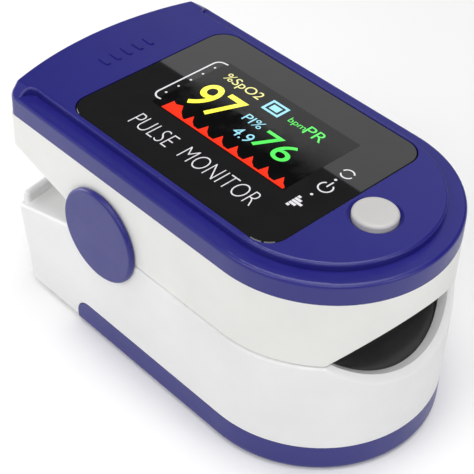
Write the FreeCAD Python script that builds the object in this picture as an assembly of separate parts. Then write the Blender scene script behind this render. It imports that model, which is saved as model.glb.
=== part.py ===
"""Fingertip pulse oximeter: a sprung two-jaw clip with a screen, a power button and two AAA cells.

Millimetres. +X points out of the finger opening, +Z is up, and the object stands on its battery
door at Z = 0. The origin is at the middle of the footprint. The hinge line runs along Y.
"""

import FreeCAD, Part
import math
import os

from FreeCAD import Vector

# ---- driving dimensions ----
HALF_WIDTH = 17.0            # body half width, without the pivot caps
FRONT_X = 30.4               # foremost point of the round front end
NOSE_X = FRONT_X - HALF_WIDTH
LOWER_GROWTH = 0.1           # the lower jaw stands this far proud of the upper one all round
LOWER_NOSE_X = NOSE_X + 0.25
LOWER_HALF_WIDTH = HALF_WIDTH + LOWER_GROWTH
WALL = 1.6
SEAM_Z = 18.35               # top edge of the lower shell
SEAM_GAP = 0.1
UPPER_TOP_Z = 28.6           # joint between the white upper shell and the blue cover
LEDGE_Z = 31.6               # outer ledge of the cover
PLATEAU_Z = 32.7             # raised middle of the cover
PLATEAU_INSET = 2.45
LEDGE_REAR_X = -26.05        # the ledge stops here, beside the pinch rest
UPPER_REAR_RADIUS = 84.0     # plan curvature of the rear walls
LOWER_REAR_RADIUS = 64.0
UPPER_REAR_X = -29.65        # upper rear wall at the middle
LOWER_REAR_X = -29.2         # lower rear wall at the middle, at REAR_TOP_Z
REAR_TOP_Z = 13.25
REAR_DRAFT = 10.0            # lean of the lower rear wall, degrees

HINGE_X = -9.2
HINGE_Z = 19.5
EAR_RADIUS = 6.0
CAP_RADIUS = 6.76
CAP_THICKNESS = 0.7
CAP_GAP = 0.1
PIN_RADIUS = 1.5
PIN_CLEARANCE = 0.05
LUG_INNER_Y = 13.6
LUG_OUTER_Y = 15.2
LUG_RADIUS = 4.5
BAY_REAR_X = -13.5           # hinge bay, open between the two decks and the two pads
BAY_FRONT_X = -3.9
UPPER_WEDGE = 15.4           # slope of the upper shell's rear underside, degrees
LOWER_WEDGE = 15.8           # slope of the lower shell's rear top, degrees
DECK = 1.0

MOUTH_X = 25.6               # where the finger opening starts on the seam
LOWER_MOUTH_X = 25.8
UPPER_MOUTH_SLOPE = 51.0
LOWER_MOUTH_SLOPE = 42.0
LIP = 0.9                    # flat rim left round the lower mouth's edge
FUNNEL = 2.0                 # the wall thickens to this at the foot of the mouth's funnel
FUNNEL_SETBACK = 1.5         # the funnel's foot and the lower pad lie this far inside the mouth's cut

CHANNEL_HALF_WIDTH = 10.2    # finger channel between the pads
CHANNEL_HALF_HEIGHT = 3.3
CHANNEL_END_X = -2.0
CHANNEL_ROUND = 8.0
PAD_GAP = 0.1
PAD_REAR_X = -3.5
SENSOR_X = 9.0               # light path through the fingertip
SENSOR_HOLE = 7.0
UPPER_FLOOR_Z = 22.9
UPPER_FLOOR = 1.0

DOOR_TOP_Z = 4.3
DOOR_REAR_X = -15.0
DOOR_PLATE = 1.2
DOOR_WALL = 1.5
DOOR_GAP = 0.1
DOOR_CORNER = 2.4            # round top corner at the door's rear ends
SHELL_BOTTOM_Z = 0.4
SHELL_FLOOR_Z = 1.4

CELL_RADIUS = 5.25           # AAA cell
CELL_LENGTH = 44.5
CELL_REAR_X = -20.8
CELL_Y = 5.75
CELL_Z = 1.6 + CELL_RADIUS
NUB_LENGTH = 0.8
NUB_RADIUS = 1.9
TRAY_Z = 12.4
TRAY_TOP_Z = 13.4
TRAY_BOTTOM_Z = 2.0          # lower edge of its webs and hooks
TRAY_WEB_Y = 11.4
TRAY_WEB = 0.8
TRAY_FRONT_X = 25.3
TRAY_REAR_X = -22.2

WINDOW_REAR_X = -19.6
WINDOW_FRONT_X = 17.3
WINDOW_HALF_Y = 13.85
WINDOW_CORNER = 3.0
WINDOW_Z = 31.5
WINDOW_SHELF = 1.0
WINDOW_GAP = 0.08

PANEL_REAR_X = -16.0
PANEL_FRONT_X = 12.8
PANEL_LOW_Y = -8.2
PANEL_HIGH_Y = 11.0
PANEL_Z = 29.0
PANEL_TOP_Z = 30.4

BOARD_Z = 26.0
BOARD_THICKNESS = 1.0
BOARD_HALF_Y = 13.0
BOARD_REAR_X = -23.5
BOARD_NOSE_X = 12.4

BUTTON_X = 21.2
BUTTON_RADIUS = 2.9
BUTTON_TOP_Z = 33.3
BUTTON_HOLE = 3.0
BUTTON_TRAVEL = 0.4

SCREW_RADIUS = 0.85
SCREW_HEAD = 1.5
SCREW_HEAD_HEIGHT = 0.8
COVER_SCREWS = [(20.0, 9.5), (20.0, -9.5), (-20.0, 12.0), (-20.0, -12.0)]
TRAY_SCREWS = [(14.0, 13.8), (14.0, -13.8), (-17.0, 13.8), (-17.0, -13.8)]

PEG_RADIUS = 0.8
PEG_INNER_Y = 15.6
HOOK_Y = 13.1                # outer edge of the tray's hooks
RAIL_HALF_X = 11.0
SENSOR_BOARD = 0.6
SENSOR_BOARD_X = (4.0, 14.0)
CABLE_THICKNESS = 0.3
CABLE_BEND_X = -7.0
CABLE_BEND_RADIUS = 4.0
CONNECTOR_Z = 24.5
COVER_POST = 2.0
COVER_INNER_Z = 30.7         # underside of the plateau

FAR = 60.0
SIDES = {"left": -1, "right": 1}


# ---- helpers ----
def box(x, y, z):
    """A box from its (low, high) limits along each axis."""
    size = [high - low for low, high in (x, y, z)]
    return Part.makeBox(size[0], size[1], size[2], Vector(x[0], y[0], z[0]))


def upright(radius, x, y, z):
    """A vertical round bar between the two heights in z."""
    return Part.makeCylinder(radius, z[1] - z[0], Vector(x, y, z[0]))


def crosswise(radius, x, z, y):
    """A round bar along Y between the two values in y."""
    return Part.makeCylinder(radius, y[1] - y[0], Vector(x, y[0], z), Vector(0, 1, 0))


def across(side, near, far):
    """The (low, high) limits along Y of something between two distances on one side."""
    return tuple(sorted((side * near, side * far)))


def prism(outline, half_width=FAR):
    """A side outline of (x, z) points, extruded across the whole width."""
    points = [Vector(x, -half_width, z) for x, z in outline]
    face = Part.Face(Part.makePolygon(points + points[:1]))
    return face.extrude(Vector(0, 2 * half_width, 0))


def plan(inset, z, nose=NOSE_X, rear=-FAR, half=HALF_WIDTH):
    """A straight-sided block with a round front end, pulled in by inset all round."""
    width = half - inset
    back = rear + inset
    corners = [Vector(nose, -width, z[0]), Vector(nose + width, 0, z[0]), Vector(nose, width, z[0])]
    front = Part.Arc(*corners).toShape()
    rest = Part.makePolygon([corners[2], Vector(back, width, z[0]), Vector(back, -width, z[0]), corners[0]])
    wire = Part.Wire([front] + rest.Edges)
    return Part.Face(wire).extrude(Vector(0, 0, z[1] - z[0]))


def lower_plan(inset, z, rear=-FAR):
    """The lower jaw's plan, a little larger than the upper jaw's."""
    return plan(inset, z, nose=LOWER_NOSE_X, rear=rear, half=LOWER_HALF_WIDTH)


def rear_bow(rear_x, radius, at_z, inset, lean=0.0):
    """A large round bar whose back is the bowed rear wall, leaning forward towards the base."""
    angle = math.radians(lean)
    direction = Vector(-math.sin(angle), 0, math.cos(angle))
    middle = Vector(rear_x + radius, 0, at_z)
    return Part.makeCylinder(radius - inset, 2 * FAR, middle - direction * FAR, direction)


def rounded(shape, radius, chosen):
    """Fillet the edges whose bounding box passes the test."""
    edges = [edge for edge in shape.Edges if chosen(edge.BoundBox)]
    return shape.makeFillet(radius, edges)


def rounded_plate(x, y, z, corner):
    """A flat plate with round upright corners."""
    plate = box(x, y, z)
    return rounded(plate, corner, lambda b: b.ZLength > 0.9 * (z[1] - z[0]))


def upper_wedge_z(x):
    return SEAM_Z + SEAM_GAP + (HINGE_X - x) * math.tan(math.radians(UPPER_WEDGE))


def lower_wedge_z(x):
    return SEAM_Z - (HINGE_X - x) * math.tan(math.radians(LOWER_WEDGE))


def channel(z):
    """The finger channel: an oval bore with a round blind end, centred at height z."""
    length = (FAR - CHANNEL_END_X) / CHANNEL_ROUND
    bore = Part.makeCylinder(1.0, length, Vector(0, 0, 0), Vector(1, 0, 0))
    tip = Part.makeSphere(1.0)
    unit = bore.fuse(tip)
    scale = FreeCAD.Matrix()
    scale.scale(CHANNEL_ROUND, CHANNEL_HALF_WIDTH, CHANNEL_HALF_HEIGHT)
    oval = unit.transformGeometry(scale)
    oval.translate(Vector(CHANNEL_END_X + CHANNEL_ROUND, 0, z))
    return oval


def coil(radius, wire, turns, pitch):
    """A round wire wound along +Z from the origin."""
    helix = Part.makeHelix(pitch, turns * pitch, radius)
    rise = pitch / (2 * math.pi * radius)
    section = Part.Wire(Part.Circle(Vector(radius, 0, 0), Vector(0, 1, rise), wire / 2).toShape())
    return Part.Wire(helix.Edges).makePipeShell([section], True, True)


def rod(start, end, radius):
    """A round bar between two points."""
    path = end - start
    return Part.makeCylinder(radius, path.Length, start, path)


# ---- lower jaw ----
def lower_body(inset):
    """The lower jaw's plan with its leaning, bowed rear wall."""
    return lower_plan(inset, (-5, 40)).common(lower_rear(inset))


def lower_rear(inset):
    return rear_bow(LOWER_REAR_X, LOWER_REAR_RADIUS, REAR_TOP_Z, inset, REAR_DRAFT)


def lower_mouth_z(x):
    return SEAM_Z - (x - LOWER_MOUTH_X) * math.tan(math.radians(LOWER_MOUTH_SLOPE))


def lower_ridge():
    """The raised pinch ridge along the whole rear edge of the lower deck."""
    height = 1.6
    ring = lower_body(0.4).common(lower_plan(0.9, (5, 25))).cut(lower_rear(1.6))
    strip = prism([
        (-40, lower_wedge_z(-40) - 0.4), (-24, lower_wedge_z(-24) - 0.4),
        (-24, lower_wedge_z(-24) + height), (-40, lower_wedge_z(-40) + height),
    ])
    return rounded(ring.common(strip), 0.45, lambda b: b.ZMin > REAR_TOP_Z - 0.6 and b.XMax < -24.5)


def mouth_outline(inset, setback):
    """The lower jaw's inner outline on a plane parallel to the mouth's cut."""
    near, far = 18.0, FRONT_X + 2
    plane = Part.Face(Part.makePolygon([
        Vector(x, y, lower_mouth_z(x + setback))
        for x, y in ((near, -FAR), (far, -FAR), (far, FAR), (near, FAR), (near, -FAR))
    ]))
    return lower_plan(inset, (-5, 40)).common(plane).Faces[0].OuterWire


def mouth_funnel():
    """The room inside the lower mouth's rim, narrowing down to the pad."""
    return Part.makeLoft([mouth_outline(LIP, 0), mouth_outline(FUNNEL, FUNNEL_SETBACK)], True, True)


def mouth_backing():
    """The thicker wall under the funnel."""
    start = 20.0
    end = FRONT_X + 1
    profile = prism([
        (start, TRAY_TOP_Z + 0.1), (end, TRAY_TOP_Z + 0.1), (end, lower_mouth_z(end)),
        (LOWER_MOUTH_X, SEAM_Z), (start, SEAM_Z),
    ])
    height = (TRAY_TOP_Z, SEAM_Z + 1)
    return lower_plan(WALL - 0.1, height).cut(lower_plan(FUNNEL, height)).common(profile)


def is_rear_corner(b):
    """The upright edges where a side wall meets the rear wall."""
    return b.XMax < -20 and b.ZLength > 3 and b.YLength < 2


def is_lower_rim(b):
    """The outer top edges of the lower shell: seam, mouth and rear deck."""
    return b.ZMin > REAR_TOP_Z - 1.5 and b.ZMax < SEAM_Z + 0.01 and b.XLength > 1.5


def tray_boss(x, y):
    """A screw post that grows out of the side wall, under the battery tray."""
    side = math.copysign(1, y)
    height = (6.0, TRAY_Z)
    gusset = box((x - 1.0, x + 1.0), across(side, abs(y), LOWER_HALF_WIDTH - WALL / 2), height)
    post = upright(SCREW_HEAD, x, y, height).fuse(gusset)
    return post.cut(upright(SCREW_RADIUS, x, y, (7.5, TRAY_Z + 1)))


def cap_peg_places():
    return [HINGE_X - 3.6, HINGE_X + 3.6]


def lower_shell():
    step = DOOR_REAR_X - DOOR_GAP
    top = DOOR_TOP_Z + DOOR_GAP
    end = FRONT_X + 1
    outer = lower_body(0).common(prism([
        (-FAR, SHELL_BOTTOM_Z), (step, SHELL_BOTTOM_Z), (step, top), (end, top), (end, lower_mouth_z(end)),
        (LOWER_MOUTH_X, SEAM_Z), (HINGE_X, SEAM_Z), (-FAR, lower_wedge_z(-FAR)),
    ]))
    corner = DOOR_CORNER + DOOR_GAP
    outer = rounded(outer, corner, lambda b: abs(b.XMax - step) < 0.01 and b.ZMin > top - 0.01)
    outer = rounded(outer, 1.6, lambda b: b.XMax < -23 and b.ZMax < SHELL_BOTTOM_Z + 0.01)
    outer = rounded(outer, 1.0, is_rear_corner)
    outer = rounded(outer, 0.45, is_lower_rim)
    cavity = lower_body(WALL).common(prism([
        (-FAR, SHELL_FLOOR_Z), (step, SHELL_FLOOR_Z), (step, -5), (FAR, -5), (FAR, 40),
        (BAY_REAR_X, 40), (BAY_REAR_X, lower_wedge_z(BAY_REAR_X) - DECK), (-FAR, lower_wedge_z(-FAR) - DECK),
    ]))
    shell = outer.cut(cavity).fuse(mouth_backing()).cut(mouth_funnel()).fuse(lower_ridge())
    ear = (LOWER_HALF_WIDTH - WALL, LOWER_HALF_WIDTH)
    for side in SIDES.values():
        shell = shell.fuse(crosswise(EAR_RADIUS, HINGE_X, HINGE_Z, across(side, *ear)))
        shell = shell.cut(crosswise(PIN_RADIUS, HINGE_X, HINGE_Z, across(side, 14, 18)))
        for peg_x in cap_peg_places():
            shell = shell.cut(crosswise(PEG_RADIUS, peg_x, HINGE_Z, across(side, PEG_INNER_Y, 18)))
    for x, y in TRAY_SCREWS:
        shell = shell.fuse(tray_boss(x, y))
    return shell.removeSplitter()


def battery_tray():
    """Roof of the battery bay with its side and end webs, and hooks that hold the door's rails."""
    inset = WALL + PAD_GAP
    roof = lower_plan(inset, (TRAY_Z, TRAY_TOP_Z), rear=TRAY_REAR_X - TRAY_WEB - inset)
    tray = roof.common(lower_body(inset))
    bottom = TRAY_BOTTOM_Z
    for side in SIDES.values():
        web = across(side, TRAY_WEB_Y, TRAY_WEB_Y + TRAY_WEB)
        tray = tray.fuse(box((TRAY_REAR_X, 22.0), web, (bottom, TRAY_Z)))
        hook = across(side, TRAY_WEB_Y, HOOK_Y)
        tray = tray.fuse(box((-RAIL_HALF_X, RAIL_HALF_X), hook, (bottom, bottom + 0.9)))
    tray = tray.fuse(box((TRAY_FRONT_X, TRAY_FRONT_X + TRAY_WEB), (-8.0, 8.0), (bottom, TRAY_Z)))
    tray = tray.fuse(box((TRAY_REAR_X - TRAY_WEB, TRAY_REAR_X), (-12.2, 12.2), (bottom, TRAY_Z)))
    tray = tray.cut(box(SENSOR_BOARD_X, (-3.1, 3.1), (TRAY_TOP_Z - SENSOR_BOARD, TRAY_TOP_Z + 1)))
    slot = (TRAY_TOP_Z - CABLE_THICKNESS, TRAY_TOP_Z + 1)
    tray = tray.cut(box((CABLE_BEND_X - 3.0, SENSOR_BOARD_X[0]), (-2.7, 2.7), slot))
    for x, y in TRAY_SCREWS:
        tray = tray.cut(upright(SCREW_RADIUS + 0.1, x, y, (TRAY_Z - 1, TRAY_TOP_Z + 1)))
    return tray.removeSplitter()


def lower_finger_pad():
    """Soft lower pad with an oval trough, just inside the mouth's cut face."""
    inset = FUNNEL + PAD_GAP
    end = FRONT_X - WALL
    profile = prism([
        (PAD_REAR_X, TRAY_TOP_Z), (end, TRAY_TOP_Z), (end, lower_mouth_z(end + FUNNEL_SETBACK)),
        (LOWER_MOUTH_X - FUNNEL_SETBACK, SEAM_Z), (PAD_REAR_X, SEAM_Z),
    ])
    pad = lower_plan(inset, (TRAY_TOP_Z, SEAM_Z)).common(profile)
    pad = pad.cut(channel(SEAM_Z + SEAM_GAP / 2))
    half = SENSOR_HOLE / 2
    pad = pad.cut(box((SENSOR_X - half, SENSOR_X + half), (-half, half), (TRAY_TOP_Z - 1, 20)))
    for x, y in TRAY_SCREWS[:2]:
        pad = pad.cut(upright(SCREW_HEAD + 0.3, x, y, (TRAY_TOP_Z - 1, TRAY_TOP_Z + 1.1)))
    return pad


def sensor_board():
    return box((SENSOR_BOARD_X[0], SENSOR_BOARD_X[1]), (-3.0, 3.0), (TRAY_TOP_Z - SENSOR_BOARD, TRAY_TOP_Z))


def photodiode():
    return box((SENSOR_X - 2.2, SENSOR_X + 2.2), (-2.0, 2.0), (TRAY_TOP_Z, TRAY_TOP_Z + 0.8))


def lower_window_z():
    """Underside of the clear window in the lower pad's trough."""
    return SEAM_Z - CHANNEL_HALF_HEIGHT - 0.5


def sensor_window():
    half = SENSOR_HOLE / 2
    z = lower_window_z()
    window = box((SENSOR_X - half, SENSOR_X + half), (-half, half), (z, z + 1.2))
    return window.cut(channel(SEAM_Z + SEAM_GAP / 2))


def battery(y, nub_end):
    """One cell along X, with its raised terminal at the given end (+1 front, -1 rear)."""
    body_length = CELL_LENGTH - NUB_LENGTH
    start = CELL_REAR_X if nub_end > 0 else CELL_REAR_X + NUB_LENGTH
    can = Part.makeCylinder(CELL_RADIUS, body_length, Vector(start, y, CELL_Z), Vector(1, 0, 0))
    can = rounded(can, 0.4, lambda b: b.XLength < 0.01)
    nub_x = start + body_length if nub_end > 0 else CELL_REAR_X
    nub = Part.makeCylinder(NUB_RADIUS, NUB_LENGTH, Vector(nub_x, y, CELL_Z), Vector(1, 0, 0))
    return can.fuse(nub)


def front_contact():
    """One plate that links the two cells at the front."""
    plate = box((TRAY_FRONT_X - 0.3, TRAY_FRONT_X), (-7.9, 7.9), (3.2, 11.4))
    return plate


def rear_contacts():
    """Two separate plates at the rear ends of the cells."""
    plates = [box((TRAY_REAR_X, TRAY_REAR_X + 0.3), across(s, 1.0, 10.4), (3.2, 11.4)) for s in (-1, 1)]
    return Part.makeCompound(plates)


def contact_springs():
    """The two flat coils that press on the cells' flat ends."""
    springs = []
    wire = 0.4
    for x, y in ((TRAY_REAR_X + 0.3, -CELL_Y), (CELL_REAR_X + CELL_LENGTH, CELL_Y)):
        spring = coil(2.2, wire, 1.0, 0.6)
        spring.rotate(Vector(0, 0, 0), Vector(0, 1, 0), 90)
        spring.translate(Vector(x + wire / 2 + 0.02, y, CELL_Z))
        springs.append(spring)
    return Part.makeCompound(springs)


def screw(x, y, head_z, tip_z):
    """A cross-head screw. The tip lies on the far side of the head's seat."""
    up = 1 if tip_z > head_z else -1
    head = upright(SCREW_HEAD, x, y, tuple(sorted((head_z, head_z - up * SCREW_HEAD_HEIGHT))))
    shank = upright(SCREW_RADIUS, x, y, tuple(sorted((head_z, tip_z))))
    outside = head_z - up * SCREW_HEAD_HEIGHT
    body = head.fuse(shank)
    for length, width in ((1.8, 0.4), (0.4, 1.8)):
        low, high = sorted((outside, outside + up * 0.4))
        body = body.cut(box((x - length / 2, x + length / 2), (y - width / 2, y + width / 2), (low, high)))
    return body


def tray_screws():
    return Part.makeCompound([screw(x, y, TRAY_TOP_Z, 7.8) for x, y in TRAY_SCREWS])


def pivot_cap(side):
    """The round blue cap over the hinge, with two pegs into the ear."""
    inner = LOWER_HALF_WIDTH + CAP_GAP
    disc = crosswise(CAP_RADIUS, HINGE_X, HINGE_Z, across(side, inner, inner + CAP_THICKNESS))
    outer_y = side * (inner + CAP_THICKNESS)
    disc = rounded(disc, 0.45, lambda b: abs(b.YMin - outer_y) < 0.01 and abs(b.YMax - outer_y) < 0.01)
    cap = disc.fuse(crosswise(EAR_RADIUS - 0.6, HINGE_X, HINGE_Z, across(side, LOWER_HALF_WIDTH, inner)))
    for peg_x in cap_peg_places():
        cap = cap.fuse(crosswise(PEG_RADIUS, peg_x, HINGE_Z, across(side, PEG_INNER_Y, LOWER_HALF_WIDTH)))
    return cap.removeSplitter()


def hinge_pin(side):
    pin = crosswise(PIN_RADIUS, HINGE_X, HINGE_Z, across(side, 11.0, LOWER_HALF_WIDTH))
    return rounded(pin, 0.2, lambda b: b.YLength < 0.01)


def torsion_spring(side):
    """Three turns round the pin, one leg on the tray and one under the upper jaw's deck."""
    wire = 0.5
    radius = 2.4
    spring = coil(radius, wire, 3.0, 0.55)
    spring.rotate(Vector(0, 0, 0), Vector(1, 0, 0), 90)
    inner_y = 11.55 if side > 0 else -13.2
    spring.translate(Vector(HINGE_X, inner_y + 1.65, HINGE_Z))
    low_y = inner_y
    high_y = inner_y + 1.65
    spring = spring.fuse(rod(Vector(HINGE_X + radius, high_y, HINGE_Z),
                             Vector(HINGE_X + radius - 0.3, high_y, 14.0), wire / 2))
    return spring.fuse(rod(Vector(HINGE_X + radius, low_y, HINGE_Z),
                           Vector(HINGE_X + radius + 1.2, low_y, 22.4), wire / 2))


def flex_cable():
    """The ribbon that joins the sensor board to the main board through the hinge bay."""
    half = 2.6
    low = TRAY_TOP_Z - CABLE_THICKNESS
    radius = CABLE_BEND_RADIUS
    centre_z = low + radius
    run = box((CABLE_BEND_X, SENSOR_BOARD_X[0]), (-half, half), (low, TRAY_TOP_Z))
    ring = crosswise(radius, CABLE_BEND_X, centre_z, (-half, half))
    ring = ring.cut(crosswise(radius - CABLE_THICKNESS, CABLE_BEND_X, centre_z, (-half, half)))
    bend = ring.common(box((CABLE_BEND_X - radius, CABLE_BEND_X), (-half, half), (low, centre_z)))
    back = CABLE_BEND_X - radius
    rise = box((back, back + CABLE_THICKNESS), (-half, half), (centre_z, CONNECTOR_Z))
    return run.fuse(bend).fuse(rise).removeSplitter()


# ---- battery door ----
def battery_door():
    """The blue tray under the lower jaw, which slides off forwards."""
    outer = lower_plan(0, (0, DOOR_TOP_Z)).common(box((DOOR_REAR_X, FAR), (-FAR, FAR), (-5, 10)))
    outer = rounded(outer, DOOR_CORNER, lambda b: abs(b.XMin - DOOR_REAR_X) + abs(b.XMax - DOOR_REAR_X) < 0.02
                    and abs(b.ZMin - DOOR_TOP_Z) < 0.01)
    outer = rounded(outer, 1.1, lambda b: b.ZMax < 0.01 and b.XLength > 4)
    door = outer.cut(lower_plan(DOOR_WALL, (DOOR_PLATE, 10)))
    for side in SIDES.values():
        rail = across(side, HOOK_Y - 0.7, LOWER_HALF_WIDTH - DOOR_WALL + 0.2)
        door = door.fuse(box((-RAIL_HALF_X, RAIL_HALF_X), rail, (3.1, 4.0)))
    tongue_top = TRAY_BOTTOM_Z - 0.15
    tongue = box((DOOR_REAR_X - 2.0, DOOR_REAR_X + 1.0), (-1.4, 1.4), (SHELL_FLOOR_Z + 0.05, tongue_top))
    root = box((DOOR_REAR_X, DOOR_REAR_X + 1.0), (-1.4, 1.4), (DOOR_PLATE - 0.2, tongue_top))
    door = door.fuse(tongue).fuse(root)
    for step in range(5):
        x = 20.0 + 1.6 * step
        door = door.cut(crosswise(0.5, x, -0.15, (-6.0, 6.0)))
    return door.removeSplitter()


# ---- upper jaw ----
def upper_mouth_z(x):
    return SEAM_Z + SEAM_GAP + (x - MOUTH_X) * math.tan(math.radians(UPPER_MOUTH_SLOPE))


def upper_body(inset, z):
    block = plan(inset, z)
    return block.common(rear_bow(UPPER_REAR_X, UPPER_REAR_RADIUS, 0, inset))


def hinge_lug(side):
    """The inner ear of the upper jaw that turns on the pin."""
    y = across(side, LUG_INNER_Y, LUG_OUTER_Y)
    plate = box((HINGE_X - LUG_RADIUS, HINGE_X + LUG_RADIUS), y, (HINGE_Z, UPPER_TOP_Z - 0.4))
    plate = plate.fuse(crosswise(LUG_RADIUS, HINGE_X, HINGE_Z, y))
    bridge = box((HINGE_X - LUG_RADIUS, HINGE_X + LUG_RADIUS), across(side, LUG_INNER_Y, 15.8),
                 (HINGE_Z + EAR_RADIUS + 0.6, UPPER_TOP_Z - 0.4))
    return plate.fuse(bridge)


def cover_screw_seat_z(x):
    """Height of the screw head's seat: the pad floor in front, a raised post at the rear."""
    return UPPER_FLOOR_Z + SCREW_HEAD_HEIGHT if x > 0 else 23.4


def upper_shell():
    base = SEAM_Z + SEAM_GAP
    end = FRONT_X + 1
    outer = upper_body(0, (10, UPPER_TOP_Z)).common(prism([
        (-FAR, upper_wedge_z(-FAR)), (HINGE_X, base), (MOUTH_X, base), (end, upper_mouth_z(end)),
        (end, 40), (-FAR, 40),
    ]))
    outer = rounded(outer, 1.0, is_rear_corner)
    outer = rounded(outer, 0.3, lambda b: b.ZMax < UPPER_TOP_Z - 2.5 and b.XLength > 1.5)
    inner = upper_body(WALL, (5, 40))
    electronics = prism([
        (-FAR, upper_wedge_z(-FAR) + DECK), (BAY_REAR_X, upper_wedge_z(BAY_REAR_X) + DECK), (BAY_REAR_X, 10),
        (BAY_FRONT_X, 10), (BAY_FRONT_X, UPPER_FLOOR_Z + UPPER_FLOOR), (FAR, UPPER_FLOOR_Z + UPPER_FLOOR),
        (FAR, 40), (-FAR, 40),
    ])
    pad_pocket = box((BAY_FRONT_X - 1, FAR), (-FAR, FAR), (10, UPPER_FLOOR_Z))
    shell = outer.cut(inner.common(electronics)).cut(inner.common(pad_pocket))
    for side in SIDES.values():
        shell = shell.cut(crosswise(EAR_RADIUS + 0.3, HINGE_X, HINGE_Z, across(side, LUG_OUTER_Y, 18)))
        shell = shell.fuse(hinge_lug(side))
        bore = PIN_RADIUS + PIN_CLEARANCE
        shell = shell.cut(crosswise(bore, HINGE_X, HINGE_Z, across(side, 13, LUG_OUTER_Y)))
    half = SENSOR_HOLE / 2
    shell = shell.cut(box((SENSOR_X - half, SENSOR_X + half), (-half, half),
                          (UPPER_FLOOR_Z - 1, UPPER_FLOOR_Z + SENSOR_BOARD)))
    for x, y in COVER_SCREWS:
        seat = cover_screw_seat_z(x)
        if x < 0:
            shell = shell.fuse(upright(2.7, x, y, (upper_wedge_z(x) + 0.7, seat + 1.0)))
        shell = shell.cut(upright(SCREW_HEAD + 0.2, x, y, (10, seat)))
        shell = shell.cut(upright(SCREW_RADIUS + 0.1, x, y, (10, seat + 2)))
    return shell.removeSplitter()


def upper_finger_pad():
    """Soft upper pad with the matching oval trough."""
    inset = WALL + PAD_GAP
    base = SEAM_Z + SEAM_GAP
    recess = 0.2
    end = FRONT_X - WALL
    profile = prism([
        (PAD_REAR_X, base), (MOUTH_X - recess, base), (end, upper_mouth_z(end) + recess),
        (end, UPPER_FLOOR_Z), (PAD_REAR_X, UPPER_FLOOR_Z),
    ])
    pad = plan(inset, (base, UPPER_FLOOR_Z)).common(profile)
    pad = pad.cut(channel(SEAM_Z + SEAM_GAP / 2))
    half = SENSOR_HOLE / 2
    return pad.cut(box((SENSOR_X - half, SENSOR_X + half), (-half, half), (15, UPPER_FLOOR_Z + 1)))


def emitter_board():
    half = SENSOR_HOLE / 2 - 0.1
    return box((SENSOR_X - half, SENSOR_X + half), (-half, half), (UPPER_FLOOR_Z, UPPER_FLOOR_Z + SENSOR_BOARD))


def emitter_led():
    return box((SENSOR_X - 1.8, SENSOR_X + 1.8), (-1.4, 1.4), (UPPER_FLOOR_Z - 0.6, UPPER_FLOOR_Z))


def emitter_window():
    half = SENSOR_HOLE / 2
    top = SEAM_Z + SEAM_GAP + CHANNEL_HALF_HEIGHT + 0.45
    window = box((SENSOR_X - half, SENSOR_X + half), (-half, half), (top - 1.2, top))
    return window.cut(channel(SEAM_Z + SEAM_GAP / 2))


def board_outline(half, z):
    return plan(0, z, nose=BOARD_NOSE_X, rear=BOARD_REAR_X, half=half)


def main_board():
    board = board_outline(BOARD_HALF_Y, (BOARD_Z, BOARD_Z + BOARD_THICKNESS))
    for x, y in COVER_SCREWS:
        board = board.cut(upright(COVER_POST + 0.3, x, y, (BOARD_Z - 1, BOARD_Z + 3)))
    return board


def board_chips():
    """The packages on the underside of the main board."""
    places = [
        ((-1.0, 6.0), (-8.0, -1.0), 1.0), ((8.5, 12.5), (-4.0, 0.0), 0.9), ((14.0, 17.0), (2.0, 6.0), 0.9),
        ((-5.5, -3.5), (3.0, 8.0), 0.7), ((2.0, 6.5), (3.5, 5.3), 1.2), ((-18.0, -15.5), (-4.0, -1.0), 0.9),
    ]
    return Part.makeCompound([box(x, y, (BOARD_Z - height, BOARD_Z)) for x, y, height in places])


def cable_connector():
    half = 3.4
    x = CABLE_BEND_X - CABLE_BEND_RADIUS
    return box((x - 1.4, x + CABLE_THICKNESS + 1.4), (-half, half), (CONNECTOR_Z, BOARD_Z))


def tact_switch():
    top = BOARD_Z + BOARD_THICKNESS
    body = box((BUTTON_X - 2.25, BUTTON_X + 2.25), (-2.25, 2.25), (top, top + 1.4))
    return body.cut(upright(1.35, BUTTON_X, 0, (top + 0.3, top + 2)))


def display_frame():
    """The black carrier that holds the panel above the board."""
    floor = BOARD_Z + BOARD_THICKNESS
    wall = 0.8
    outer = box((PANEL_REAR_X - wall, PANEL_FRONT_X + wall), (PANEL_LOW_Y - wall, PANEL_HIGH_Y + wall),
                (floor, PANEL_TOP_Z - 0.4))
    seat = box((PANEL_REAR_X, PANEL_FRONT_X), (PANEL_LOW_Y, PANEL_HIGH_Y), (PANEL_Z, PANEL_TOP_Z))
    well = box((PANEL_REAR_X + 1.5, PANEL_FRONT_X - 1.5), (PANEL_LOW_Y + 1.5, PANEL_HIGH_Y - 1.5),
               (floor + 0.8, PANEL_Z))
    return outer.cut(seat).cut(well)


def display_panel():
    return box((PANEL_REAR_X, PANEL_FRONT_X), (PANEL_LOW_Y, PANEL_HIGH_Y), (PANEL_Z, PANEL_TOP_Z))


def display_gasket():
    """Foam frame between the panel and the window."""
    ring = 1.0
    z = (PANEL_TOP_Z, WINDOW_Z)
    outer = box((PANEL_REAR_X, PANEL_FRONT_X), (PANEL_LOW_Y, PANEL_HIGH_Y), z)
    inner = box((PANEL_REAR_X + ring, PANEL_FRONT_X - ring), (PANEL_LOW_Y + ring, PANEL_HIGH_Y - ring), z)
    return outer.cut(inner)


def display_window():
    """The black glossy window, flush with the plateau."""
    window = rounded_plate((WINDOW_REAR_X, WINDOW_FRONT_X), (-WINDOW_HALF_Y, WINDOW_HALF_Y),
                           (WINDOW_Z, PLATEAU_Z), WINDOW_CORNER)
    top = [edge for edge in window.Edges if edge.BoundBox.ZMin > PLATEAU_Z - 0.01]
    return window.makeChamfer(0.12, top)


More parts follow.
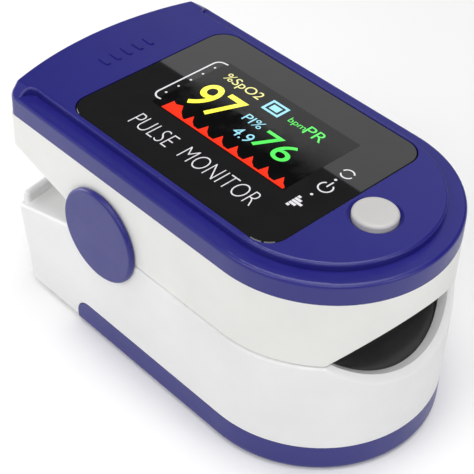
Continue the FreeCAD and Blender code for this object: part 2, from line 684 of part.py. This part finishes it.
def rim_end(side, z):
    """The room beside the pinch block, where the rim's ledge stops at a round inner corner."""
    inner = HALF_WIDTH - PLATEAU_INSET
    room = box((LEDGE_REAR_X, 0), across(side, inner, HALF_WIDTH + 1), z)
    corner = Vector(LEDGE_REAR_X, side * inner, (z[0] + z[1]) / 2)
    return rounded(room, 1.5, lambda b: (b.Center - corner).Length < 0.01)


def pinch_block():
    """The rear finger rest: it overhangs the rear wall and its sides slope down to the full width."""
    rest_radius = 50.0
    rest_rear_x = -30.7
    top_half = 15.1
    side_z = 31.35
    base_z = 30.9
    block = box((-40, LEDGE_REAR_X + 2.5), (-HALF_WIDTH, HALF_WIDTH), (base_z, PLATEAU_Z))
    bow = upright(rest_radius, rest_rear_x + rest_radius, 0, (base_z - 1, PLATEAU_Z + 1))
    block = rounded(block.common(bow), 1.4, lambda b: b.ZLength > 1 and b.XMax < -27)
    for side in SIDES.values():
        wedge = Part.makePolygon([
            Vector(-45, side * top_half, PLATEAU_Z), Vector(-45, side * (HALF_WIDTH + 0.6), side_z - 0.43),
            Vector(-45, side * (HALF_WIDTH + 0.6), 40), Vector(-45, side * top_half, 40),
            Vector(-45, side * top_half, PLATEAU_Z),
        ])
        block = block.cut(Part.Face(wedge).extrude(Vector(30, 0, 0)))
        block = block.cut(rim_end(side, (base_z - 1, PLATEAU_Z + 1)))
    return block


def top_cover():
    rim = upper_body(0, (UPPER_TOP_Z, LEDGE_Z))
    rim = rounded(rim, 1.4, lambda b: b.ZLength > 2 and b.XMax < -26)
    rim = rounded(rim, 0.55, lambda b: b.ZMin > LEDGE_Z - 0.01)
    raised = plan(PLATEAU_INSET, (LEDGE_Z - 1, PLATEAU_Z), rear=-27.0)
    raised = rounded(raised, 0.4, lambda b: b.ZMin > PLATEAU_Z - 0.01 and b.XMin > -26)
    block = rounded(pinch_block(), 0.35, lambda b: b.ZMin > 31.3 and b.XMin < -25)
    cover = rim.fuse(raised).fuse(block)
    rim_room = upper_body(WALL, (UPPER_TOP_Z - 1, 30.1)).common(box((-24.5, FAR), (-FAR, FAR), (20, 40)))
    cover = cover.cut(rim_room)
    cover = cover.cut(plan(PLATEAU_INSET + WALL, (UPPER_TOP_Z - 1, COVER_INNER_Z), rear=-27.0))
    gap = WINDOW_GAP
    half = WINDOW_HALF_Y + gap
    recess = rounded_plate((WINDOW_REAR_X - gap, WINDOW_FRONT_X + gap), (-half, half),
                           (WINDOW_Z, PLATEAU_Z + 1), WINDOW_CORNER)
    shelf = WINDOW_SHELF
    half = WINDOW_HALF_Y - shelf
    hole = box((WINDOW_REAR_X + shelf, WINDOW_FRONT_X - shelf), (-half, half), (20, 40))
    cover = cover.cut(recess).cut(hole)
    cover = cover.cut(upright(BUTTON_HOLE, BUTTON_X, 0, (20, 40)))
    dish = Part.makeCone(BUTTON_HOLE + 0.05, BUTTON_HOLE + 0.45, 0.32, Vector(BUTTON_X, 0, PLATEAU_Z - 0.3))
    cover = cover.cut(dish)
    for step in range(-2, 3):
        middle = 1.9 * step
        height = (PLATEAU_Z - 0.2, PLATEAU_Z + 0.15)
        bar = rounded_plate((-25.4, -23.2), (middle - 0.4, middle + 0.4), height, 0.39)
        cover = cover.fuse(bar)
    for x, y in COVER_SCREWS:
        post = upright(COVER_POST, x, y, (cover_screw_seat_z(x) + 1.05, COVER_INNER_Z + 0.3))
        post = post.cut(upright(SCREW_RADIUS, x, y, (20, 30.0)))
        cover = cover.fuse(post)
    return cover.removeSplitter()


def cover_screws():
    return Part.makeCompound([screw(x, y, cover_screw_seat_z(x), 29.6) for x, y in COVER_SCREWS])


# ---- power button ----
def power_button():
    """The domed cap with its hidden flange."""
    cap = upright(BUTTON_RADIUS, BUTTON_X, 0, (COVER_INNER_Z - 0.9, BUTTON_TOP_Z))
    cap = rounded(cap, 0.45, lambda b: b.ZMin > BUTTON_TOP_Z - 0.01)
    flange = upright(BUTTON_RADIUS + 0.8, BUTTON_X, 0, (COVER_INNER_Z - 1.2, COVER_INNER_Z - 0.02))
    return cap.fuse(flange).removeSplitter()


def switch_plunger():
    top = BOARD_Z + BOARD_THICKNESS
    return upright(1.25, BUTTON_X, 0, (top + 0.85, COVER_INNER_Z - 1.2))


def main():
    os.makedirs("parts", exist_ok=True)
    nodes = {
        "lower_shell": lower_shell(),
        "battery_tray": battery_tray(),
        "lower_finger_pad": lower_finger_pad(),
        "sensor_board": sensor_board(),
        "photodiode": photodiode(),
        "sensor_window": sensor_window(),
        "battery_left": battery(-CELL_Y, 1),
        "battery_right": battery(CELL_Y, -1),
        "front_contact": front_contact(),
        "rear_contacts": rear_contacts(),
        "contact_springs": contact_springs(),
        "tray_screws": tray_screws(),
        "flex_cable": flex_cable(),
        "battery_door": battery_door(),
        "upper_shell": upper_shell(),
        "upper_finger_pad": upper_finger_pad(),
        "emitter_board": emitter_board(),
        "emitter_led": emitter_led(),
        "emitter_window": emitter_window(),
        "main_board": main_board(),
        "board_chips": board_chips(),
        "cable_connector": cable_connector(),
        "tact_switch": tact_switch(),
        "display_frame": display_frame(),
        "display_panel": display_panel(),
        "display_gasket": display_gasket(),
        "display_window": display_window(),
        "top_cover": top_cover(),
        "cover_screws": cover_screws(),
        "power_button": power_button(),
        "switch_plunger": switch_plunger(),
    }
    for name, side in SIDES.items():
        nodes[name + "_pivot_cap"] = pivot_cap(side)
        nodes[name + "_hinge_pin"] = hinge_pin(side)
        nodes[name + "_torsion_spring"] = torsion_spring(side)
    for name, shape in nodes.items():
        if not shape.isValid():
            print("invalid:", name)
        shape.exportStep("parts/" + name + ".step")


main()
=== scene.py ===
"""Looks of the fingertip pulse oximeter: materials, display, soft pads, springs, cable, light and camera.

Everything is in metres, in the row frame: +X out of the finger opening, +Z up, the object on Z = 0.
"""

import bpy
import bmesh
import math
from mathutils import Matrix, Vector


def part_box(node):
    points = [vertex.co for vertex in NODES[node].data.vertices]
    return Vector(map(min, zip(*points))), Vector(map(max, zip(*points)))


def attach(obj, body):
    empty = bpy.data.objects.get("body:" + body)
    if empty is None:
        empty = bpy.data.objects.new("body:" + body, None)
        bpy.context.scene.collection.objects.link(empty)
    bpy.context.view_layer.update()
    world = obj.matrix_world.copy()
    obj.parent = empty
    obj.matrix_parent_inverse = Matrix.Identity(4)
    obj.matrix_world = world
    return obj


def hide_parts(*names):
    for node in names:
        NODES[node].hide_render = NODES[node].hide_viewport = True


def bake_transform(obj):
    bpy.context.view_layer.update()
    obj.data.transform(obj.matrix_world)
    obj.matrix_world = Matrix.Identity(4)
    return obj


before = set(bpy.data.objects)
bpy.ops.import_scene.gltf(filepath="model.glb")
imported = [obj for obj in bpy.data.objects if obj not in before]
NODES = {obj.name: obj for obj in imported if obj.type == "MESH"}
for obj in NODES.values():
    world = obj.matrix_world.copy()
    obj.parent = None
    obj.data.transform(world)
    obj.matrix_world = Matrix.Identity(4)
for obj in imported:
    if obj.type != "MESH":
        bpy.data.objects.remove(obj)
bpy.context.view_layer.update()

MM = 0.001
SCENE = bpy.context.scene


# ---- node helpers ----
class Nodes:
    """A material being built: short calls for nodes and links."""

    def __init__(self, name):
        self.material = bpy.data.materials.new(name)
        self.material.use_nodes = True
        self.tree = self.material.node_tree
        self.shader = self.tree.nodes["Principled BSDF"]
        self.place = None

    def add(self, kind, **inputs):
        node = self.tree.nodes.new(kind)
        for key, value in inputs.items():
            node.inputs[key.replace("_", " ")].default_value = value
        return node

    def link(self, a, b):
        self.tree.links.new(a, b)

    def set(self, **values):
        for key, value in values.items():
            self.shader.inputs[key.replace("_", " ")].default_value = value

    def position(self):
        if self.place is None:
            self.place = self.tree.nodes.new("ShaderNodeTexCoord")
        return self.place.outputs["Object"]

    def noise(self, scale, detail=3.0, roughness=0.55, stretch=None):
        """Noise of the given scale in cells per metre."""
        node = self.add("ShaderNodeTexNoise", Scale=scale, Detail=detail, Roughness=roughness)
        source = self.position()
        if stretch:
            mapping = self.add("ShaderNodeMapping")
            mapping.inputs["Scale"].default_value = stretch
            self.link(source, mapping.inputs["Vector"])
            source = mapping.outputs["Vector"]
        self.link(source, node.inputs["Vector"])
        return node.outputs["Fac"]

    def ramp(self, source, low, high, start=0.3, end=0.7):
        """Maps source from start..end to low..high, which are numbers or colours."""
        if isinstance(low, (int, float)):
            node = self.add("ShaderNodeMapRange")
            for key, value in (("From Min", start), ("From Max", end), ("To Min", low), ("To Max", high)):
                node.inputs[key].default_value = value
            self.link(source, node.inputs["Value"])
            return node.outputs["Result"]
        node = self.tree.nodes.new("ShaderNodeValToRGB")
        node.color_ramp.elements[0].position = start
        node.color_ramp.elements[1].position = end
        node.color_ramp.elements[0].color = (*low, 1)
        node.color_ramp.elements[1].color = (*high, 1)
        self.link(source, node.inputs["Fac"])
        return node.outputs["Color"]

    def bump(self, height, strength, distance, below=None):
        node = self.add("ShaderNodeBump", Strength=strength, Distance=distance)
        self.link(height, node.inputs["Height"])
        if below is not None:
            self.link(below, node.inputs["Normal"])
        return node.outputs["Normal"]

    def into(self, socket, output):
        self.link(output, self.shader.inputs[socket])


def near(colour, share):
    """A colour a little lighter (share over 1) or darker (under 1)."""
    return tuple(min(1.0, c * share) for c in colour)


# ---- materials ----
def moulded_plastic(name, colour, roughness, grain=0.25, coat=0.0, waviness=0.1):
    """Moulded plastic: fine spark-eroded grain, faint flow mottling, handling marks in the gloss."""
    m = Nodes(name)
    m.set(IOR=1.5, Coat_Weight=coat, Coat_Roughness=0.12)
    mottling = m.noise(90.0, 4.0)
    m.into("Base Color", m.ramp(mottling, near(colour, 0.96), near(colour, 1.03)))
    marks = m.noise(260.0, 5.0, 0.7)
    m.into("Roughness", m.ramp(marks, roughness - 0.04, roughness + 0.06))
    texture = m.bump(m.noise(9000.0, 2.0), grain, 0.00002)
    m.into("Normal", m.bump(m.noise(140.0, 1.0), waviness, 0.0001, texture))
    return m.material


def window_black():
    """Polished black acrylic with a hard coat, faint polishing haze and a few smears."""
    m = Nodes("window_black")
    m.set(IOR=1.5, Coat_Weight=0.3, Coat_Roughness=0.02)
    m.into("Base Color", m.ramp(m.noise(300.0), (0.0085, 0.0085, 0.0085), (0.0105, 0.0105, 0.0105)))
    smear = m.noise(60.0, 5.0, 0.65, (1.0, 2.5, 1.0))
    m.into("Roughness", m.ramp(smear, 0.015, 0.035, 0.45, 0.75))
    m.into("Normal", m.bump(m.noise(45.0, 1.0), 0.01, 0.0001))
    return m.material


def silicone(name):
    """Soft matte silicone with a dusty bloom and a fine tooled grain."""
    m = Nodes(name)
    m.set(IOR=1.42, Sheen_Weight=0.3, Sheen_Roughness=0.4)
    m.into("Base Color", m.ramp(m.noise(180.0, 4.0), (0.034, 0.034, 0.035), (0.046, 0.046, 0.047)))
    m.into("Roughness", m.ramp(m.noise(700.0), 0.55, 0.72))
    m.into("Normal", m.bump(m.noise(5000.0, 3.0), 0.35, 0.00003))
    return m.material


def metal(name, colour, roughness, direction=(1.0, 1.0, 1.0)):
    """Plated or drawn metal with fine scratches along its drawing direction."""
    m = Nodes(name)
    m.set(Metallic=1.0)
    m.into("Base Color", m.ramp(m.noise(500.0), near(colour, 0.9), near(colour, 1.06)))
    scratches = m.noise(3000.0, 3.0, 0.6, direction)
    m.into("Roughness", m.ramp(scratches, roughness - 0.05, roughness + 0.1))
    m.into("Normal", m.bump(scratches, 0.15, 0.00001))
    return m.material


def circuit_board():
    """Green solder mask over copper tracks, with tinned pads."""
    m = Nodes("circuit_board")
    m.set(IOR=1.5, Coat_Weight=0.3, Coat_Roughness=0.15)
    tracks = m.add("ShaderNodeTexBrick", Scale=420.0)
    tracks.inputs["Mortar Size"].default_value = 0.09
    tracks.inputs["Color1"].default_value = (0.012, 0.13, 0.04, 1)
    tracks.inputs["Color2"].default_value = (0.010, 0.10, 0.03, 1)
    tracks.inputs["Mortar"].default_value = (0.03, 0.22, 0.07, 1)
    m.link(m.position(), tracks.inputs["Vector"])
    m.into("Base Color", tracks.outputs["Color"])
    m.into("Roughness", m.ramp(m.noise(800.0), 0.3, 0.45))
    m.into("Normal", m.bump(tracks.outputs["Fac"], 0.4, 0.00003))
    return m.material


def clear_plastic(name, tint):
    """Clear lens over the light path."""
    m = Nodes(name)
    m.set(IOR=1.49, Transmission_Weight=0.85, Base_Color=(*tint, 1))
    m.into("Roughness", m.ramp(m.noise(400.0), 0.04, 0.12))
    m.into("Normal", m.bump(m.noise(900.0), 0.05, 0.00002))
    return m.material


def light_ink(name, colour, strength):
    """Lit display pixels or white print under the window's gloss; on the white print the glow is a painted
    glow, since print gives no light.
    """
    m = Nodes(name)
    # emission: real light for the display pixels, a painted glow for the white print
    m.set(IOR=1.5, Coat_Weight=0.3, Coat_Roughness=0.03, Emission_Strength=strength)
    shade = m.ramp(m.noise(2500.0, 2.0), near(colour, 0.94), near(colour, 1.03))
    m.into("Emission Color", shade)
    m.set(Base_Color=(*near(colour, 0.15), 1))
    m.into("Roughness", m.ramp(m.noise(60.0, 5.0), 0.015, 0.035, 0.45, 0.75))
    return m.material


BLUE = (0.012, 0.011, 0.185)
MATERIALS = {
    "blue": moulded_plastic("blue_plastic", BLUE, 0.36, 0.10, 0.08, 0.03),
    "white_low": moulded_plastic("white_lower_plastic", (0.80, 0.80, 0.80), 0.40, 0.18),
    "white_up": moulded_plastic("white_upper_plastic", (0.79, 0.79, 0.765), 0.42, 0.18),
    "grey": moulded_plastic("button_plastic", (0.55, 0.54, 0.53), 0.42, 0.15),
    "black": moulded_plastic("black_plastic", (0.014, 0.014, 0.014), 0.5, 0.3),
    "cream": moulded_plastic("connector_plastic", (0.66, 0.60, 0.46), 0.5, 0.2),
    "window": window_black(),
    "screen": moulded_plastic("screen_black", (0.0008, 0.0008, 0.001), 0.05, 0.0, 0.0, 0.01),
    "silicone": silicone("black_silicone"),
    "board": circuit_board(),
    "clear": clear_plastic("clear_window", (0.95, 0.90, 0.88)),
    "led": clear_plastic("led_epoxy", (1.0, 0.55, 0.45)),
    "nickel": metal("nickel_plate", (0.72, 0.69, 0.62), 0.22, (1.0, 6.0, 1.0)),
    "steel": metal("zinc_steel", (0.62, 0.62, 0.64), 0.32, (1.0, 1.0, 5.0)),
    "can": metal("cell_sleeve", (0.55, 0.56, 0.58), 0.28, (0.2, 3.0, 3.0)),
    "film": moulded_plastic("polyimide_film", (0.42, 0.16, 0.025), 0.25, 0.05, 0.2),
    "foam": silicone("gasket_foam"),
}
NODE_MATERIALS = {
    "blue": ["top_cover", "battery_door", "left_pivot_cap", "right_pivot_cap"],
    "white_low": ["lower_shell", "battery_tray"],
    "white_up": ["upper_shell"],
    "grey": ["power_button", "switch_plunger"],
    "black": ["photodiode", "board_chips", "display_frame", "tact_switch"],
    "cream": ["cable_connector"],
    "window": ["display_window"],
    "screen": ["display_panel"],
    "silicone": ["lower_finger_pad", "upper_finger_pad"],
    "board": ["sensor_board", "emitter_board", "main_board"],
    "clear": ["sensor_window", "emitter_window"],
    "led": ["emitter_led"],
    "nickel": ["front_contact", "rear_contacts", "contact_springs",
               "left_torsion_spring", "right_torsion_spring"],
    "steel": ["tray_screws", "cover_screws", "left_hinge_pin", "right_hinge_pin"],
    "can": ["battery_left", "battery_right"],
    "film": ["flex_cable"],
    "foam": ["display_gasket"],
}


def dress(obj, material):
    obj.data.materials.clear()
    obj.data.materials.append(material)


def dress_cad_nodes():
    for key, names in NODE_MATERIALS.items():
        for name in names:
            dress(NODES[name], MATERIALS[key])


dress_cad_nodes()


# ---- soft pads ----
def copied(node, name):
    """A new piece with the shape of a CAD node, which it replaces."""
    source = NODES[node]
    obj = bpy.data.objects.new(name, source.data.copy())
    obj.matrix_world = source.matrix_world.copy()
    SCENE.collection.objects.link(obj)
    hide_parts(node)
    return obj


def evaluated_mesh(obj):
    """A new mesh of what an object shows: its modifiers' result, or the faces of its text."""
    bpy.context.view_layer.update()
    shape = obj.evaluated_get(bpy.context.evaluated_depsgraph_get())
    return bpy.data.meshes.new_from_object(shape)


PAD_GRAIN = 0.00035         # voxel size of the pads' mesh
PAD_RELAX_ROUNDS = 5        # rounds every edge, like a moulded rubber part
RIB_PITCH = 0.0016
RIB_HEIGHT = 0.00014
RIB_END_MARGIN = 0.003      # the ribs stop this far from the pad's ends
RIB_MIN_FACING = 0.25       # least share of a normal towards the channel where the ribs begin
RIB_FADE = 3                # how fast they reach their full height from there


def rubber_pad(node, name, body, channel_side):
    """A finger pad with soft moulded edges and fine grip ribs across its channel."""
    obj = copied(node, name)
    remesh = obj.modifiers.new("remesh", "REMESH")
    remesh.mode = "VOXEL"
    remesh.voxel_size = PAD_GRAIN
    remesh.use_smooth_shade = True
    relax = obj.modifiers.new("relax", "SMOOTH")
    relax.factor = 0.5
    relax.iterations = PAD_RELAX_ROUNDS
    mesh = evaluated_mesh(obj)
    obj.modifiers.clear()
    obj.data = mesh
    low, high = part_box(node)
    for vertex in mesh.vertices:
        facing = vertex.normal.z * channel_side
        margin = min(vertex.co.x - low.x, high.x - vertex.co.x)
        if facing > RIB_MIN_FACING and margin > RIB_END_MARGIN:
            wave = 0.5 - 0.5 * math.cos(2 * math.pi * vertex.co.x / RIB_PITCH)
            depth = RIB_HEIGHT * wave * min(1.0, (facing - RIB_MIN_FACING) * RIB_FADE)
            vertex.co -= vertex.normal * depth
    for face in mesh.polygons:
        face.use_smooth = True
    dress(obj, MATERIALS["silicone"])
    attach(obj, body)


def finger_pads():
    rubber_pad("lower_finger_pad", "lower_pad_rubber", "lower_jaw", 1)
    rubber_pad("upper_finger_pad", "upper_pad_rubber", "upper_jaw", -1)


# ---- springs and cable across the hinge ----
SPRING_BEND = (0.0172, 0.0218)      # heights between which a sliced piece gets level cuts
CABLE_BEND = (0.0165, 0.0230)
CABLE_SLICES = 10


def bending(node, name, material, bend, slices=0):
    """A copy of a CAD node with a material and its transform baked in; with slices, it gets level cuts
    between the bend's heights.
    """
    low_z, high_z = bend
    obj = copied(node, name)
    if slices:
        sliced(obj, low_z, high_z, slices)
    dress(obj, material)
    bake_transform(obj)


def sliced(obj, low_z, high_z, count):
    """Adds level cuts across a straight run, between two heights."""
    build = bmesh.new()
    build.from_mesh(obj.data)
    for i in range(count + 1):
        height = low_z + (high_z - low_z) * i / count
        geometry = build.verts[:] + build.edges[:] + build.faces[:]
        bmesh.ops.bisect_plane(build, geom=geometry, plane_co=(0, 0, height), plane_no=(0, 0, 1))
    build.to_mesh(obj.data)
    build.free()


def hinge_runs():
    for side in ("left", "right"):
        name = side + "_torsion_spring"
        bending(name, name + "_wire", MATERIALS["nickel"], SPRING_BEND)
    bending("flex_cable", "flex_cable_film", MATERIALS["film"], CABLE_BEND, CABLE_SLICES)


finger_pads()
hinge_runs()


# ---- display graphics ----
GLASS_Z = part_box("display_window")[1].z
SCREEN_HEIGHT = 0.00002             # of the lit area above the window's face
INK_HEIGHT = 2 * SCREEN_HEIGHT      # of the readings and the print


def on_window(name, mesh, material):
    """A piece of screen or print, which moves with the upper jaw."""
    obj = bpy.data.objects.new(name, mesh)
    SCENE.collection.objects.link(obj)
    dress(obj, material)
    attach(obj, "upper_jaw")


def flat_piece(name, faces, height, material):
    """Flat outlines of (x, y) millimetre points as one mesh, at a height above the window."""
    mesh = bpy.data.meshes.new(name)
    build = bmesh.new()
    for points in faces:
        verts = [build.verts.new((x * MM, y * MM, GLASS_Z + height)) for x, y in points]
        face = build.faces.new(verts)
        face.normal_update()
        if face.normal.z < 0:
            face.normal_flip()
    bmesh.ops.triangulate(build, faces=build.faces)
    build.to_mesh(mesh)
    build.free()
    on_window(name, mesh, material)


def rectangle(x0, y0, x1, y1):
    return [(x0, y0), (x1, y0), (x1, y1), (x0, y1)]


def stroke(points, width, closed=False):
    """Quads along a line of (x, y) points, with mitred corners."""
    points = [Vector(p) for p in points]
    count = len(points)
    sides = []
    for i, p in enumerate(points):
        before = points[i - 1] if (i > 0 or closed) else None
        after = points[(i + 1) % count] if (i < count - 1 or closed) else None
        a = (p - before).normalized() if before is not None else (after - p).normalized()
        b = (after - p).normalized() if after is not None else a
        along = (a + b).normalized()
        across = Vector((-along.y, along.x))
        reach = width / 2 / max(0.35, across.dot(Vector((-a.y, a.x))))
        sides.append((p + across * reach, p - across * reach))
    pairs = list(zip(sides, sides[1:] + sides[:1])) if closed else list(zip(sides, sides[1:]))
    return [[tuple(a[1]), tuple(b[1]), tuple(b[0]), tuple(a[0])] for a, b in pairs]


def arc(cx, cy, radius, start, end, steps=16):
    """Points on an arc, in degrees."""
    turn = [math.radians(start + (end - start) * i / steps) for i in range(steps + 1)]
    return [(cx + radius * math.cos(t), cy + radius * math.sin(t)) for t in turn]


def disc(cx, cy, radius, steps=16):
    return arc(cx, cy, radius, 0, 360 - 360 / steps, steps - 1)


def lettering(name, text, box, material, weight=0.0):
    """Text in the built-in face, fitted to a box of (x0, y0, x1, y1) millimetres on the window."""
    curve = bpy.data.curves.new(name, "FONT")
    curve.body = text
    curve.offset = weight
    curve.resolution_u = 6
    source = bpy.data.objects.new(name, curve)
    SCENE.collection.objects.link(source)
    mesh = evaluated_mesh(source)
    bpy.data.objects.remove(source)
    low = [min(v.co[i] for v in mesh.vertices) for i in (0, 1)]
    high = [max(v.co[i] for v in mesh.vertices) for i in (0, 1)]
    for v in mesh.vertices:
        for i in (0, 1):
            share = (v.co[i] - low[i]) / (high[i] - low[i])
            v.co[i] = (box[i] + share * (box[i + 2] - box[i])) * MM
        v.co.z = GLASS_Z + INK_HEIGHT
    on_window(name, mesh, material)


SCREEN = (-13.2, -5.0, 10.8, 8.6)       # x0, y0, x1, y1 of the lit area, millimetres
BEAT_MARKER = (-2.9, 4.9, -0.3, 7.0)
CAPTION_WEIGHT = -0.022                 # thinner strokes than the built-in face
INKS = {
    # painted glow: the white print emits light, though printed ink gives none
    "white": light_ink("white_print_painted_glow", (0.80, 0.78, 0.82), 1.0),
    "yellow": light_ink("yellow_pixels", (1.0, 0.93, 0.08), 1.25),
    "pale": light_ink("pale_yellow_pixels", (1.0, 0.95, 0.35), 1.0),
    "red": light_ink("red_pixels", (0.90, 0.035, 0.012), 1.1),
    "green": light_ink("green_pixels", (0.10, 0.85, 0.12), 1.1),
    "cyan": light_ink("cyan_pixels", (0.35, 0.80, 0.95), 1.0),
}


def display():
    """The lit screen: two large readings, a small one, their units, the beat marker and the trace."""
    flat_piece("screen_area", [rectangle(*SCREEN)], SCREEN_HEIGHT, MATERIALS["screen"])
    lettering("spo2_value", "97", (-11.1, -1.8, -4.4, 4.0), INKS["yellow"], 0.008)
    lettering("spo2_unit", "%SpO2", (-11.2, 5.0, -4.5, 7.1), INKS["pale"])
    lettering("pulse_value", "76", (1.2, -1.6, 7.1, 2.2), INKS["green"], 0.004)
    lettering("pulse_unit_small", "bpm", (1.2, 4.9, 4.0, 6.3), INKS["green"])
    lettering("pulse_unit", "PR", (4.1, 4.9, 7.2, 6.8), INKS["green"])
    lettering("index_unit", "PI%", (-3.0, 1.1, 0.2, 2.7), INKS["cyan"])
    lettering("index_value", "4.9", (-1.8, -2.0, 1.2, -0.1), INKS["cyan"])
    beat_marker()
    pulse_wave()


def beat_marker():
    """A framed box that blinks with each beat."""
    x0, y0, x1, y1 = BEAT_MARKER
    outline = stroke(rectangle(x0, y0, x1, y1), 0.38, closed=True)
    inner = rectangle(x0 + 0.55, y0 + 0.5, x1 - 0.55, y1 - 0.5)
    flat_piece("beat_marker", outline + [inner], INK_HEIGHT, INKS["cyan"])


def pulse_wave():
    """The red pulse trace: a broad first beat, then teeth that rise steeply and fall away."""
    start, base, end = -11.5, -4.75, 10.6
    first_length, tooth_pitch, teeth = 3.98, 2.72, 7
    first = [(0, 0), (0.16, 1.97), (0.89, 1.67), (1.72, 2.14), (2.6, 1.03), (3.47, 0.4),
             (first_length, 0.2), (first_length, 0)]
    tooth = [(0, 0), (0, 0.2), (0.35, 1.65), (1.1, 0.7), (1.8, 0.25), (1.8, 0)]
    faces = [[(start + x, base + y) for x, y in first]]
    for i in range(teeth):
        left = start + first_length + tooth_pitch * i
        faces.append([(left + x, base + y) for x, y in tooth])
    faces.append(rectangle(start, base - 0.12, end, base + 0.2))
    flat_piece("pulse_wave", faces, INK_HEIGHT, INKS["red"])


def window_print():
    """White print round the screen, with a painted glow: caption, bracket with dots, and the mode icons.
    """
    white = INKS["white"]
    lettering("window_caption_left", "PULSE", (-11.9, -10.2, -4.7, -7.5), white, CAPTION_WEIGHT)
    lettering("window_caption_right", "MONITOR", (-2.6, -10.2, 10.3, -7.5), white, CAPTION_WEIGHT)
    near_corner = arc(-13.3, -2.8, 1.1, 270, 180, 8)
    far_corner = arc(-13.3, 6.9, 1.1, 180, 90, 8)
    marks = stroke([(-12.8, -3.8)] + near_corner + far_corner + [(-12.8, 8.1)], 0.24)
    for i in range(5):
        marks.append(disc(-13.5, -2.3 + 2.15 * i, 0.17))
    marks += mode_icons(13.8)
    flat_piece("window_marks", marks, INK_HEIGHT, white)


def mode_icons(x):
    """Step bars, a power sign and a turn-round sign in a row across the window's front end."""
    marks = []
    for i in range(5):
        foot, tall = x - 1.0, 0.45 + 0.56 * min(i, 4 - i)
        y = -6.6 + 0.5 * i
        marks.append(rectangle(foot, y, foot + tall, y + 0.4))
    marks.append(disc(x - 0.2, -2.95, 0.2))
    marks += stroke(arc(x, -0.75, 0.95, 125, 415), 0.2)
    marks += stroke([(x, -0.6), (x, 0.65)], 0.2)
    marks.append(disc(x - 0.2, 1.2, 0.2))
    marks += stroke(arc(x, 3.1, 0.85, 30, 170), 0.2)
    marks += stroke(arc(x, 3.1, 0.85, 210, 350), 0.2)
    return marks


display()
window_print()


# ---- light, floor and camera ----
FLOOR_REACH = 4.0
WORLD_STRENGTH = 0.06
OBJECT_MIDDLE = (0, 0, 0.015)
CAMERA_PLACE = Vector((0.09868, -0.09997, 0.13711))
CAMERA_FORWARD = Vector((-0.53506, 0.53336, -0.65516)).normalized()
CAMERA_RIGHT = Vector((0.68453, 0.72820, 0.03377)).normalized()
CAMERA_LENS = 105.65


def floor():
    mesh = bpy.data.meshes.new("floor")
    corners = rectangle(-FLOOR_REACH, -FLOOR_REACH, FLOOR_REACH, FLOOR_REACH)
    mesh.from_pydata([(x, y, 0) for x, y in corners], [], [(0, 1, 2, 3)])
    obj = bpy.data.objects.new("floor", mesh)
    SCENE.collection.objects.link(obj)
    m = Nodes("pale_floor")
    m.into("Base Color", m.ramp(m.noise(3.0), (0.88, 0.88, 0.88), (0.90, 0.90, 0.90)))
    m.set(Roughness=0.9, Specular_IOR_Level=0.1)
    dress(obj, m.material)


def soft_box(name, place, aim, size, watts):
    """A white rectangular area light at a place, turned towards a point."""
    data = bpy.data.lights.new(name, "AREA")
    data.shape = "RECTANGLE"
    data.size, data.size_y = size
    data.energy = watts
    obj = bpy.data.objects.new(name, data)
    obj.location = place
    obj.rotation_euler = (Vector(aim) - Vector(place)).to_track_quat("-Z", "Y").to_euler()
    SCENE.collection.objects.link(obj)


def lights():
    """Three large soft boxes, two small cards for the space under the upper jaw, and one for the floor."""
    world = bpy.data.worlds.new("world")
    world.use_nodes = True
    background = world.node_tree.nodes["Background"]
    background.inputs["Color"].default_value = (1, 1, 1, 1)
    background.inputs["Strength"].default_value = WORLD_STRENGTH
    SCENE.world = world
    soft_box("key", (-0.11, -0.62, 0.51), OBJECT_MIDDLE, (0.5, 0.4), 2.1)
    soft_box("front", (0.488, -0.342, 0.55), OBJECT_MIDDLE, (0.5, 0.4), 1.9)
    soft_box("top", (0.05, 0.1, 1.1), OBJECT_MIDDLE, (0.8, 0.8), 7.8)
    soft_box("mouth_card", (0.145, 0.02, 0.09), (0.029, 0, 0.016), (0.05, 0.05), 0.035)
    soft_box("rear_card", (-0.15, -0.05, 0.05), (-0.02, 0, 0.015), (0.10, 0.06), 0.085)
    soft_box("back_card", (-0.35, 0.53, 0.40), (-0.35, 0.53, 0.0), (0.7, 0.34), 0.6)


def camera():
    """Three-quarter view from the front left, about 41 degrees above the floor."""
    up = CAMERA_RIGHT.cross(CAMERA_FORWARD)
    data = bpy.data.cameras.new("camera")
    data.sensor_width = 36.0
    data.lens = CAMERA_LENS
    data.clip_start, data.clip_end = 0.01, 20.0
    obj = bpy.data.objects.new("camera", data)
    turn = Matrix((CAMERA_RIGHT, up, -CAMERA_FORWARD)).transposed().to_4x4()
    obj.matrix_world = Matrix.Translation(CAMERA_PLACE) @ turn
    SCENE.collection.objects.link(obj)
    SCENE.camera = obj


floor()
lights()
camera()
SCENE.view_settings.view_transform = "Standard"
